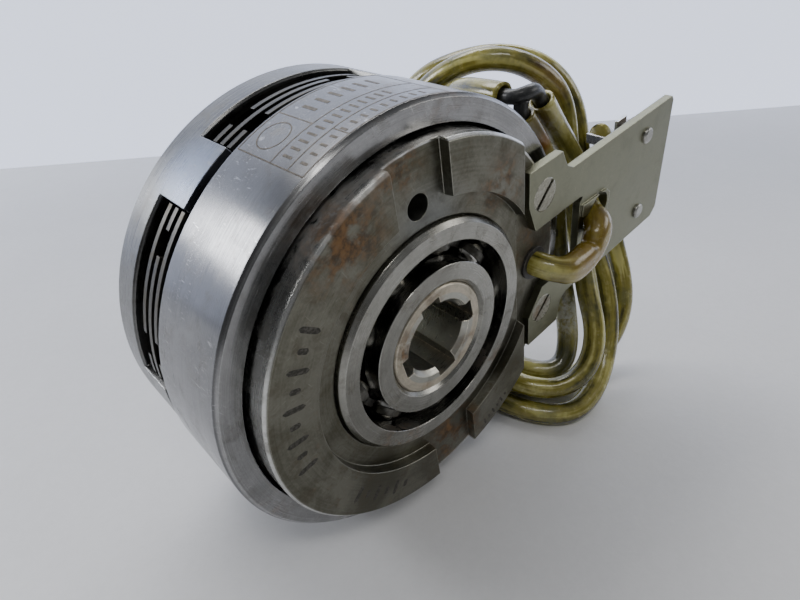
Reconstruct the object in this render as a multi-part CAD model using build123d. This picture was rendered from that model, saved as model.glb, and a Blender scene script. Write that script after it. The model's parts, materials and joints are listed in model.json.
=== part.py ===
from build123d import *
import os
from math import pi, radians, tan

# Electromagnetic multi-disc clutch with a standing coil, in millimetres.
# The clutch axis is Y and its bearing side faces -Y. The origin is on that axis, in the plane of the
# rotor ring's front rim. The clutch lies on its rims, so the surface under it is at z = -ring_r.

# Bearing: a 6205 deep groove ball bearing
bore_r = 12.5
race_outer_r = 26.0
race_inner_shoulder_r = 17.1
race_outer_shoulder_r = 21.7
bearing_width = 15.0
bearing_front = -4.6
ball_count = 9
ball_r = 3.9
ball_pitch_r = 19.25
groove_play = 0.1
race_chamfer = 0.9

# Magnet body, the standing pot that holds the coil
body_r = 41.9
body_front = -5.3
body_rear = 16.6
body_chamfer = 0.6
recess_r = 31.0
recess_floor = -3.0
coil_inner_r = 31.0
coil_outer_r = 38.9
coil_front = 2.2
bearing_shoulder_r = 23.0
slot_width = 13.2
stator_turn = 11.0            # whole standing half, anticlockwise seen from the bearing side
pin_hole_r = 2.5
pin_hole_pitch_r = 31.0
pin_hole_depth = 4.5
chord_x = 27.0                # straight wall of the milled seat for the bracket
chord_floor = -2.0
lead_hole_r = 3.6
lead_hole_x = 34.5
lead_hole_z = -2.5

# Rotor
ring_r = 47.6
ring_inner_r = 42.7
ring_rear = 20.5
ring_front_bevel = 0.7
web_front = 17.4
pole_outer_r = 31.5
brass_outer_r = 38.0
hub_front = -4.2
spline_inner_r = 8.0
spline_outer_r = 10.3
spline_width = 5.0
spline_count = 4
spline_turn = 18.0
hub_chamfer = 1.0
shoulder_r = 15.5
disc_spline_r = 18.0
disc_spline_root_r = 16.6
disc_tooth_count = 12
disc_spline_rear = 35.4
journal_r = 14.0
hub_rear = 41.6
clip_groove_r = 13.0
clip_width = 1.2

# Driver cup with its fingers
driver_r = 47.2
driver_front = 32.6
driver_rear = 40.2
driver_bore_r = 42.0
driver_web_front = 36.0
finger_count = 6
finger_tip = 23.3
finger_width = 12.8
finger_turn = 131.7           # from +X towards +Z, seen from the bearing side
bush_outer_r = 17.0
bush_play = 0.04
bolt_pitch_r = 30.0
bolt_hole_r = 2.5
bolt_count = 6

# Disc pack, from the rotor's pole face to the armature plate
outer_disc_r = 46.4
outer_disc_inner_r = 22.5
inner_disc_r = 40.6
outer_disc_thick = 1.2
inner_disc_thick = 0.9
outer_disc_fronts = (23.7, 26.2, 28.7)
outer_disc_sides = (-1, 1, -1)      # every second disc is turned over
inner_disc_fronts = (22.5, 25.1, 27.6)
notch_width = 13.6
notch_floor_r = 41.4
relief_width = 5.0
relief_floor_r = 43.0
relief_turn = 16.9                  # from the middle of a finger to the middle of a relief
tooth_gap_width = 4.6
spline_play = 0.25
armature_r = 40.6
armature_front = 30.5
armature_rear = 35.0

# Bracket, in the standing half's own turned axes
plate_front = -4.0
plate_rear = -2.0
plate_left = 30.5
plate_right = 93.0
plate_top = 17.6
plate_bottom = -18.6
ear_top = 23.4
ear_bottom = -26.4
ear_right = 43.4
notch_right = 50.6
notch_top = 8.0
notch_bottom = -10.2
window_x = 57.6
window_z = 0.35
window_r = 3.55
window_half_length = 1.75
window_turn = 43.0
tongue_rise = 0.6
screw_places = ((36.0, 15.8), (36.0, -17.2))
screw_head_r = 3.9
screw_shank_r = 1.6
screw_length = 5.6
screw_slot_width = 1.0
screw_slot_turn = 42.0
rivet_places = ((80.4, 11.4), (81.2, -11.8))
rivet_head_r = 2.1
rivet_shank_r = 1.4
block_left = 75.6
block_right = 85.0
block_top = 14.2
block_bottom = -14.6
block_rear = 1.6
tag_thick = 0.8
tag_left = 74.0
tag_right = 83.2
tag_bottom = 8.4
tag_shoulder = 13.0
tag_top = 15.9
tag_lug_top = 11.4

# Leads: a soft plastic sleeve, and the black core that shows where the sleeve is cut
sleeve_r = 3.0
core_r = 1.7

# The route of each lead, from its exit to its far end
field_lead_route = (
    (34.34, 0.5, 4.13), (34.34, -5.1, 4.13), (38.0, -9.0, 3.1), (43.5, -9.0, 2.7), (49.4, -8.6, 4.3),
    (54.6, -7.4, 9.3), (56.7, -1.8, 11.4), (59.8, 3.0, 17.4), (58.0, 7.0, 24.2), (52.2, 8.5, 31.0),
    (45.8, 9.0, 38.0))
lead_core_route = (
    (45.8, 9.0, 38.0), (43.77, 9.16, 40.22), (41.2, 8.3, 41.0), (38.4, 8.3, 40.7), (36.3, 9.8, 39.95),
    (36.4, 12.8, 39.8))
supply_lead_route = (
    (36.4, 12.8, 39.8), (36.6, 18.8, 39.5), (39.0, 26.2, 38.6), (42.8, 33.0, 36.3), (46.0, 39.5, 30.5),
    (48.6, 45.0, 22.5), (50.0, 48.5, 12.5), (50.5, 49.5, 1.5), (50.5, 48.0, -9.5), (50.0, 43.0, -20.0),
    (48.0, 36.0, -28.7), (44.8, 28.5, -35.0), (41.0, 20.5, -37.8), (39.3, 12.0, -38.6),
    (39.2, 4.0, -38.7), (41.2, -3.4, -38.8), (45.6, -9.0, -38.5), (51.6, -12.3, -35.6),
    (56.7, -12.2, -30.0), (59.7, -9.6, -23.2), (61.9, -4.8, -16.6), (65.6, 0.6, -9.4),
    (68.0, 5.8, -1.2), (69.2, 10.0, 8.0), (69.6, 13.2, 17.2), (70.0, 15.4, 26.2), (68.2, 17.6, 34.2),
    (62.6, 20.4, 40.2), (55.0, 25.5, 44.0), (49.8, 33.0, 43.5), (46.6, 41.0, 39.3), (44.7, 48.3, 32.3),
    (43.5, 54.0, 23.5), (42.7, 57.0, 13.0), (42.0, 58.0, 2.0), (41.0, 57.5, -9.0), (39.5, 55.0, -20.0),
    (37.5, 50.5, -30.5), (36.2, 43.5, -39.0), (35.5, 34.0, -44.0), (35.2, 23.0, -44.6),
    (35.0, 12.5, -44.6), (35.4, 3.5, -44.6), (37.4, -4.4, -44.6), (41.6, -10.8, -44.6),
    (47.1, -14.4, -44.6), (53.9, -15.0, -43.6), (60.9, -13.8, -40.8), (66.9, -11.6, -35.8),
    (71.3, -8.6, -29.0), (73.7, -4.8, -21.4), (75.0, -0.2, -13.6), (75.2, 5.0, -5.5), (75.2, 9.4, 4.0),
    (75.7, 12.4, 13.4), (76.5, 15.2, 23.0), (75.5, 18.4, 32.0), (71.7, 22.6, 38.8), (65.7, 28.0, 42.6),
    (59.0, 35.5, 43.4), (53.9, 43.7, 40.8), (50.6, 52.0, 36.3), (47.8, 58.8, 27.6), (45.6, 63.5, 17.0),
    (44.5, 66.0, 5.0), (44.6, 66.0, -6.5), (44.5, 63.5, -18.0), (44.5, 58.5, -28.5),
    (44.5, 51.0, -37.0), (44.3, 41.5, -43.0), (44.0, 31.0, -44.6), (43.6, 22.0, -44.6),
    (43.4, 14.5, -44.6), (43.9, 7.5, -44.6), (46.4, 1.2, -44.6), (51.0, -3.6, -44.6),
    (56.9, -5.8, -44.6), (63.9, -6.4, -44.4), (71.5, -7.0, -42.8), (77.9, -7.2, -38.8),
    (82.5, -6.8, -33.0), (84.9, -5.2, -25.8), (85.5, -2.2, -18.0), (85.3, 1.6, -10.4),
    (85.6, 4.8, -3.0), (86.6, 7.2, 5.0), (86.2, 8.1, 11.6), (83.8, 8.0, 17.0), (80.2, 7.5, 21.2),
    (76.4, 7.1, 23.8), (72.7, 6.9, 25.2))
earth_lead_route = (
    (39.6, 9.4, 35.4), (43.2, 8.0, 30.6), (47.4, 7.0, 24.4), (51.6, 6.4, 16.6), (55.3, 6.3, 8.2),
    (57.9, 6.0, -1.3), (60.2, 4.5, -11.6), (61.0, 1.4, -21.2), (59.0, -2.6, -30.3), (55.4, -4.8, -36.2),
    (51.0, -3.4, -38.4), (47.0, 1.0, -38.5), (45.8, 7.6, -38.6))


def cylinder_y(radius, y_front, y_rear):
    """A round bar along the clutch axis."""
    middle = (y_front + y_rear) / 2
    return Pos(0, middle, 0) * Rot(90, 0, 0) * Cylinder(radius, y_rear - y_front)


def ring_y(inner_radius, outer_radius, y_front, y_rear):
    """A plain ring about the clutch axis."""
    past = 1.0
    return cylinder_y(outer_radius, y_front, y_rear) - cylinder_y(inner_radius, y_front - past, y_rear + past)


def turned(*profile):
    """A body turned about the clutch axis from (radius, y) corners."""
    outline = Polyline(*profile, close=True)
    return revolve(make_face(outline), Axis.Y)


def block(x0, x1, y0, y1, z0, z1):
    """A box between two corners."""
    return Pos((x0 + x1) / 2, (y0 + y1) / 2, (z0 + z1) / 2) * Box(x1 - x0, y1 - y0, z1 - z0)


def about_axis(shape, degrees_from_x):
    """A shape drawn along +X, swung about the clutch axis towards +Z."""
    return Rot(0, -degrees_from_x, 0) * shape


def around(shape, count, first_degrees):
    """Copies of a shape, evenly spaced about the clutch axis."""
    step = 360.0 / count
    return [about_axis(shape, first_degrees + step * index) for index in range(count)]


def stator(shape):
    """A shape of the standing half, turned to where that half stands."""
    return about_axis(shape, stator_turn)


def peg_y(radius, x, z, y_front, y_rear):
    """A round bar along Y at a given place."""
    return Pos(x, 0, z) * cylinder_y(radius, y_front, y_rear)


def group(shapes):
    """Separate solids kept together in one node."""
    return Compound(children=list(shapes))


# ---- standing half ----

def magnet_body():
    """Pot with bearing seat, front recess, two radial slots, bracket seat and holes."""
    seat_rear = bearing_front + bearing_width
    pot = turned(
        (race_outer_r + 0.5, recess_floor), (recess_r, recess_floor), (recess_r + 0.3, body_front),
        (body_r - body_chamfer, body_front), (body_r, body_front + body_chamfer), (body_r, body_rear),
        (coil_outer_r, body_rear), (coil_outer_r, coil_front), (coil_inner_r, coil_front),
        (coil_inner_r, body_rear - 2.0), (bearing_shoulder_r, body_rear - 2.0),
        (bearing_shoulder_r, seat_rear), (race_outer_r, seat_rear), (race_outer_r, recess_floor + 0.5))
    slot = block(race_outer_r + 1.0, body_r + 2.0, body_front - 1.0, recess_floor,
                 -slot_width / 2, slot_width / 2)
    seat = block(chord_x, body_r + 2.0, body_front - 1.0, chord_floor, -body_r, body_r)
    pin_hole = peg_y(pin_hole_r, 0, pin_hole_pitch_r, body_front, recess_floor + pin_hole_depth)
    lead_hole = peg_y(lead_hole_r, lead_hole_x, lead_hole_z, body_front, coil_front + 1.0)
    pot = pot - about_axis(slot, 90) - about_axis(slot, 270) - seat - pin_hole - lead_hole
    for x, z in screw_places:
        pot = pot - peg_y(screw_shank_r, x, z, body_front, plate_front + screw_length)
    return stator(pot)


def coil_bobbin():
    """Moulded bobbin, open outwards."""
    flange = 1.2
    front = coil_front + 0.2
    rear = body_rear - 2.0
    inner = coil_inner_r + 0.2
    outer = coil_outer_r - 0.3
    return turned((inner, front), (outer, front), (outer, front + flange), (inner + flange, front + flange),
                  (inner + flange, rear - flange), (outer, rear - flange), (outer, rear), (inner, rear))


def coil_winding():
    """Copper winding, as one closed ring."""
    flange = 1.3
    return ring_y(coil_inner_r + 0.2 + flange, coil_outer_r - 0.6,
                  coil_front + 0.2 + flange, body_rear - 2.0 - flange)


def coil_potting():
    """Resin that closes the coil pocket at the rear."""
    return ring_y(coil_inner_r + 0.02, coil_outer_r - 0.02, body_rear - 1.9, body_rear - 0.4)


def race_groove():
    """The ball track, as a ring of round section."""
    middle = bearing_front + bearing_width / 2
    return Pos(0, middle, 0) * Rot(90, 0, 0) * Torus(ball_pitch_r, ball_r + groove_play)


def bearing_outer_race():
    front = bearing_front
    rear = bearing_front + bearing_width
    c = race_chamfer
    r = race_outer_r
    race = turned((race_outer_shoulder_r, front), (r - c, front), (r, front + c), (r, rear - c),
                  (r - c, rear), (race_outer_shoulder_r, rear))
    return race - race_groove()


def bearing_inner_race():
    front = bearing_front
    rear = bearing_front + bearing_width
    c = race_chamfer
    race = turned((bore_r, front + c), (bore_r + c, front), (race_inner_shoulder_r, front),
                  (race_inner_shoulder_r, rear), (bore_r + c, rear), (bore_r, rear - c))
    return race - race_groove()


def balls():
    middle = bearing_front + bearing_width / 2
    ball = Pos(ball_pitch_r, middle, 0) * Sphere(ball_r)
    return group(around(ball, ball_count, 0))


def ball_cage():
    """Pressed cage: a round pocket at each ball, joined by flat bands."""
    middle = bearing_front + bearing_width / 2
    pocket_inner = ball_r + 0.12
    pocket_outer = ball_r + 0.45
    band_inner = ball_pitch_r - 0.9
    band_outer = ball_pitch_r + 0.9
    cage = ring_y(band_inner, band_outer, middle - 0.7, middle + 0.7)
    place = Pos(ball_pitch_r, middle, 0) * Rot(0, 90, 0)
    pocket = place * Cylinder(pocket_outer, band_outer - band_inner)
    hollow = place * Cylinder(pocket_inner, 2 * (band_outer - band_inner))
    for solid in around(pocket, ball_count, 0):
        cage = cage + solid
    for cut in around(hollow, ball_count, 0):
        cage = cage - cut
    return cage


def window(y_front, y_rear):
    """The slanting window that the lead passes through."""
    slot = block(-window_half_length, window_half_length, y_front, y_rear, -window_r, window_r)
    ends = peg_y(window_r, -window_half_length, 0, y_front, y_rear)
    ends = ends + peg_y(window_r, window_half_length, 0, y_front, y_rear)
    return Pos(window_x, 0, window_z) * Rot(0, -window_turn, 0) * (slot + ends)


def sheet_y(corners, y_front, y_rear):
    """A flat sheet across the clutch axis, from its (x, z) corners."""
    sheet = extrude(make_face(Polyline(*corners, close=True)), y_rear - y_front)
    return Pos(0, y_rear, 0) * Rot(90, 0, 0) * sheet


def countersink(x, z):
    """The cone of a countersunk head, with its face in the plate's front plane."""
    depth = min(screw_head_r - screw_shank_r, plate_rear - plate_front - 0.3)
    cone = Cone(screw_head_r - depth, screw_head_r, depth)
    return Pos(x, plate_front + depth / 2, z) * Rot(90, 0, 0) * cone


def bracket_plate():
    """Flat sheet plate with two ears, a notch between them, and a dished tongue over the window."""
    plate = sheet_y((
        (plate_left, notch_top + 7.0), (plate_left, ear_top), (ear_right - 1.2, ear_top),
        (ear_right, ear_top - 2.6), (ear_right + 1.0, plate_top + 1.4), (ear_right + 3.4, plate_top),
        (plate_right - 1.0, plate_top), (plate_right, plate_top - 1.2), (plate_right, plate_bottom + 2.4),
        (plate_right - 2.4, plate_bottom), (ear_right + 3.4, plate_bottom),
        (ear_right + 1.0, plate_bottom - 1.4), (ear_right - 0.6, ear_bottom), (plate_left, ear_bottom),
        (plate_left, notch_bottom - 7.0), (plate_left + 5.5, notch_bottom),
        (notch_right - 1.5, notch_bottom), (notch_right, notch_bottom + 1.5),
        (notch_right, notch_top - 1.8), (notch_right + 1.0, notch_top - 0.4), (notch_right - 0.4, notch_top),
        (plate_left + 2.4, notch_top)), plate_front, plate_rear)
    tongue = sheet_y((
        (notch_right, 2.2), (notch_right, 5.4), (window_x + 4.2, window_z + 4.6),
        (window_x + 5.8, window_z + 3.0), (window_x + 5.2, window_z - 3.4), (window_x, window_z)),
        plate_front - tongue_rise, plate_front)
    tongue = tongue & sheet_y((
        (notch_right + 0.6, -8.0), (notch_right + 0.6, 12.0), (80.0, 12.0), (80.0, -8.0)),
        plate_front - 3.0, plate_rear)
    plate = plate + tongue - window(plate_front - 3.0, plate_rear + 1.0)
    for x, z in screw_places:
        plate = plate - peg_y(screw_shank_r, x, z, plate_front - 1, plate_rear + 1)
        plate = plate - countersink(x, z)
    for x, z in rivet_places:
        plate = plate - peg_y(rivet_shank_r, x, z, plate_front - 1, plate_rear + 1)
    return stator(plate)


def bracket_screws():
    """Two countersunk slotted screws."""
    screws = []
    for x, z in screw_places:
        shank = peg_y(screw_shank_r, x, z, plate_front + 0.1, plate_front + screw_length)
        slot = block(-6, 6, plate_front - 1, plate_front + 1, -screw_slot_width / 2, screw_slot_width / 2)
        slot = Pos(x, 0, z) * Rot(0, -screw_slot_turn, 0) * slot
        screws.append(stator(countersink(x, z) + shank - slot))
    return group(screws)


def terminal_block():
    """Moulded block behind the plate that holds the lead's end."""
    body = block(block_left, block_right, plate_rear, block_rear, block_bottom, block_top)
    body = fillet(body.edges().filter_by(Axis.Y), 2.0)
    for x, z in rivet_places:
        body = body - peg_y(rivet_shank_r, x, z, plate_rear - 1, block_rear + 1)
    return stator(body)


def terminal_rivets():
    """Two rivets through the plate and the block, the upper one through the tag too."""
    rivets = []
    for (x, z), seat in zip(rivet_places, (block_rear + tag_thick, block_rear)):
        shank = peg_y(rivet_shank_r, x, z, plate_front - 0.1, seat + 0.1)
        front_head = peg_y(rivet_head_r, x, z, plate_front - 0.9, plate_front)
        front_head = fillet(front_head.edges().sort_by(Axis.Y)[0], 0.7)
        rear_head = peg_y(rivet_head_r, x, z, seat, seat + 0.8)
        rivets.append(stator(shank + front_head + rear_head))
    return group(rivets)


def terminal_tag():
    """Folded metal tag under the upper rivet, with the lug that the supply lead is joined to."""
    x, z = rivet_places[0]
    rear = block_rear + tag_thick
    foot = block(tag_left, tag_right, block_rear, rear, tag_bottom, tag_shoulder)
    blade = block(tag_left + 1.2, tag_left + 5.6, block_rear, rear, tag_shoulder, tag_top)
    lug = block(tag_left, tag_left + tag_thick, block_rear, rear + 7.2, tag_bottom + 0.4, tag_lug_top)
    return stator(foot + blade + lug - peg_y(rivet_shank_r, x, z, block_rear - 1, rear + 1))


def lead_grommet():
    """Insulating bush where the lead leaves the pot."""
    play = 0.02
    bush = ring_y(sleeve_r + play, lead_hole_r - play, chord_floor, coil_front - 0.2)
    lip = ring_y(sleeve_r + play, lead_hole_r + 0.6, chord_floor - 0.6, chord_floor)
    return stator(Pos(lead_hole_x, 0, lead_hole_z) * (bush + lip))


# ---- rotor ----

def splined_hub():
    """Hub sleeve with the shaft's grooves inside and the discs' teeth outside."""
    front_r = bore_r
    sleeve = turned(
        (spline_inner_r + hub_chamfer, hub_front), (front_r - 0.3, hub_front), (front_r, hub_front + 0.3),
        (front_r, bearing_front + bearing_width), (shoulder_r, bearing_front + bearing_width),
        (shoulder_r, ring_rear), (disc_spline_r, ring_rear), (disc_spline_r, disc_spline_rear),
        (journal_r, disc_spline_rear), (journal_r, hub_rear), (spline_inner_r + hub_chamfer, hub_rear),
        (spline_inner_r, hub_rear - hub_chamfer), (spline_inner_r, hub_front + hub_chamfer))
    groove = block(0, spline_outer_r, hub_front - 1, hub_rear + 1, -spline_width / 2, spline_width / 2)
    for cut in around(groove, spline_count, spline_turn):
        sleeve = sleeve - cut
    tooth_gap = block(disc_spline_root_r, disc_spline_r + 1, ring_rear, disc_spline_rear + 1,
                      -tooth_gap_width / 2, tooth_gap_width / 2)
    for cut in around(tooth_gap, disc_tooth_count, 0):
        sleeve = sleeve - cut
    clip_front = driver_rear + 0.1
    return sleeve - ring_y(clip_groove_r, journal_r + 1, clip_front, clip_front + clip_width)


def inner_pole():
    """Steel pole disc pressed on the hub."""
    front = bearing_front + bearing_width + 0.6
    step = coil_inner_r - 9.0
    return turned((shoulder_r, front), (step, front), (step, body_rear - 1.4), (pole_outer_r, body_rear + 0.8),
                  (pole_outer_r, ring_rear), (shoulder_r, ring_rear))


def brass_ring():
    """Non-magnetic ring between the poles."""
    return ring_y(pole_outer_r, brass_outer_r, web_front, ring_rear - 0.2)


def outer_pole_ring():
    """Rotor ring that turns round the pot, with its bevelled front rim."""
    b = ring_front_bevel
    return turned((ring_inner_r, 0), (ring_r - b, -0.1), (ring_r, b), (ring_r, ring_rear - 0.4),
                  (ring_r - 0.4, ring_rear), (brass_outer_r, ring_rear), (brass_outer_r, web_front),
                  (ring_inner_r, web_front))


def retaining_clip():
    """Snap ring that keeps the driver on the hub."""
    front = driver_rear + 0.1
    ring = ring_y(clip_groove_r + 0.02, journal_r + 1.8, front + 0.05, front + clip_width - 0.05)
    return ring - block(0, journal_r + 4, front - 1, front + 3, -1.5, 1.5)


def thrust_washer():
    """Washer between the hub's teeth and the driver's bush."""
    return ring_y(journal_r + 0.02, disc_spline_r, disc_spline_rear, driver_web_front - 0.1)


# ---- discs and armature ----

def toothed_bore(solid, y_front, y_rear):
    """Cuts the bore that fits the hub's teeth with a little play."""
    root = disc_spline_root_r + spline_play
    tip = disc_spline_r + spline_play
    half_gap = tooth_gap_width / 2 - spline_play
    cutter = cylinder_y(tip, y_front - 1, y_rear + 1)
    tooth = block(root, tip + 1, y_front - 2, y_rear + 2, -half_gap, half_gap)
    for inner_tooth in around(tooth, disc_tooth_count, 0):
        cutter = cutter - inner_tooth
    return solid - cutter


def inner_disc(y_front):
    """Friction disc driven by the hub."""
    y_rear = y_front + inner_disc_thick
    return toothed_bore(cylinder_y(inner_disc_r, y_front, y_rear), y_front, y_rear)


def outer_disc(y_front, side):
    """Steel disc with a notch for each finger and a shallow relief beside it."""
    y_rear = y_front + outer_disc_thick
    disc = ring_y(outer_disc_inner_r, outer_disc_r, y_front, y_rear)
    notch = block(notch_floor_r, driver_r + 2, y_front - 1, y_rear + 1, -notch_width / 2, notch_width / 2)
    relief = block(relief_floor_r, driver_r + 2, y_front - 1, y_rear + 1, -relief_width / 2, relief_width / 2)
    for cut in around(notch, finger_count, finger_turn):
        disc = disc - cut
    for cut in around(relief, finger_count, finger_turn + side * relief_turn):
        disc = disc - cut
    return disc


def armature_plate():
    """Plate that the magnet pulls on to the pack."""
    plate = turned((disc_spline_root_r, armature_front), (armature_r, armature_front),
                   (armature_r, armature_rear - 1.0), (armature_r - 1.0, armature_rear),
                   (disc_spline_root_r, armature_rear))
    return toothed_bore(plate, armature_front, armature_rear)


# ---- driver ----

def driver_ring():
    """Cup with its rim, web and the fingers that reach over the disc pack."""
    cup = turned((bush_outer_r, driver_web_front), (driver_bore_r, driver_web_front),
                 (driver_bore_r, driver_front), (driver_r - 0.4, driver_front),
                 (driver_r, driver_front + 0.4), (driver_r, driver_rear - 0.5),
                 (driver_r - 0.5, driver_rear), (bush_outer_r, driver_rear))
    sector = ring_y(driver_bore_r, driver_r, finger_tip, driver_front + 1.0)
    bar = block(driver_bore_r - 5, driver_r + 5, finger_tip - 1, driver_front + 2,
                -finger_width / 2, finger_width / 2)
    for finger in around(sector & bar, finger_count, finger_turn):
        cup = cup + finger
    hole = peg_y(bolt_hole_r, bolt_pitch_r, 0, driver_web_front - 1, driver_rear + 1)
    for cut in around(hole, bolt_count, finger_turn):
        cup = cup - cut
    return cup


def driver_bush():
    """Plain bearing bush in the driver's web."""
    return ring_y(journal_r + bush_play, bush_outer_r, driver_web_front, driver_rear)


# ---- leads ----

def corner_radii(route):
    """The largest tangent arc at each corner that its two runs leave room for."""
    radii = []
    for before, corner, after in zip(route, route[1:], route[2:]):
        run_in = Vector(*corner) - Vector(*before)
        run_out = Vector(*after) - Vector(*corner)
        half_turn = radians(run_in.get_angle(run_out)) / 2
        radii.append(0.45 * min(run_in.length, run_out.length) / tan(half_turn))
    return radii


def lead_tube(name, route, radius):
    """A round tube of straight runs joined by tangent arcs."""
    radii = corner_radii(route)
    path = FilletPolyline(*route, radius=radii)
    tube = sweep(Plane(origin=path @ 0, z_dir=path % 0) * Circle(radius), path=path)
    expected = pi * radius ** 2 * path.length
    print(name, "length", round(path.length, 1), "volume ratio", round(tube.volume / expected, 4))
    print("  radii", [round(value, 1) for value in radii])
    return tube


def save(name, shape):
    shape.label = name
    export_step(shape, os.path.join("parts", name + ".step"))


def build_all():
    os.makedirs("parts", exist_ok=True)
    save("magnet_body", magnet_body())
    save("coil_bobbin", coil_bobbin())
    save("coil_winding", coil_winding())
    save("coil_potting", coil_potting())
    save("bearing_outer_race", bearing_outer_race())
    save("bearing_inner_race", bearing_inner_race())
    save("bearing_balls", balls())
    save("bearing_cage", ball_cage())
    save("bracket_plate", bracket_plate())
    save("bracket_screws", bracket_screws())
    save("terminal_block", terminal_block())
    save("terminal_rivets", terminal_rivets())
    save("terminal_tag", terminal_tag())
    save("lead_grommet", lead_grommet())
    save("splined_hub", splined_hub())
    save("inner_pole", inner_pole())
    save("brass_ring", brass_ring())
    save("outer_pole_ring", outer_pole_ring())
    save("retaining_clip", retaining_clip())
    save("thrust_washer", thrust_washer())
    for number, (y_front, side) in enumerate(zip(outer_disc_fronts, outer_disc_sides), start=1):
        save("outer_disc_%d" % number, outer_disc(y_front, side))
    for number, y_front in enumerate(inner_disc_fronts, start=1):
        save("inner_disc_%d" % number, inner_disc(y_front))
    save("armature_plate", armature_plate())
    save("driver_ring", driver_ring())
    save("driver_bush", driver_bush())
    save("field_lead", lead_tube("field_lead", field_lead_route, sleeve_r))
    save("lead_core", lead_tube("lead_core", lead_core_route, core_r))
    save("supply_lead", lead_tube("supply_lead", supply_lead_route, sleeve_r))
    save("earth_lead", lead_tube("earth_lead", earth_lead_route, sleeve_r))


build_all()
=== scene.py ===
"""Looks of the electromagnetic clutch: materials, sleeved leads, marks, table, light and camera."""
import json
import math

import bpy
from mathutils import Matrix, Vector


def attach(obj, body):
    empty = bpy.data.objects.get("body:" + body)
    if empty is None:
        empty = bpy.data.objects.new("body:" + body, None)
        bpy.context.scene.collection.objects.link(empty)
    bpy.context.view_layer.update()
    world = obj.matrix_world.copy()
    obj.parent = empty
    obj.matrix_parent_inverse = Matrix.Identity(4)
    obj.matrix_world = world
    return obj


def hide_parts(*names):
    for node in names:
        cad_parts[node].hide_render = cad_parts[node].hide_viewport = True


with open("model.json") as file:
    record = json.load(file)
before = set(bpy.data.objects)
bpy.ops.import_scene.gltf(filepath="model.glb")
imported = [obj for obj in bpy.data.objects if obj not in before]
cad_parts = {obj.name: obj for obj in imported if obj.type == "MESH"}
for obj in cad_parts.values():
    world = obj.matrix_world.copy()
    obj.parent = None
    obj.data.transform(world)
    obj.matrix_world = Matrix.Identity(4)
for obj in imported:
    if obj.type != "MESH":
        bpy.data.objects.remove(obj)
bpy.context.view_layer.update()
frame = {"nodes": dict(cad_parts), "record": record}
NODES = frame["nodes"]

MM = 0.001
RING_R = 47.6                 # rotor ring, whose rim the clutch lies on
FLOOR_Z = -RING_R * MM
FACE_Y = -5.3                 # front face of the pot
BEVEL_SAMPLES = 6             # for edges that the shader rounds


# ---------------------------------------------------------------- node graphs

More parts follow.
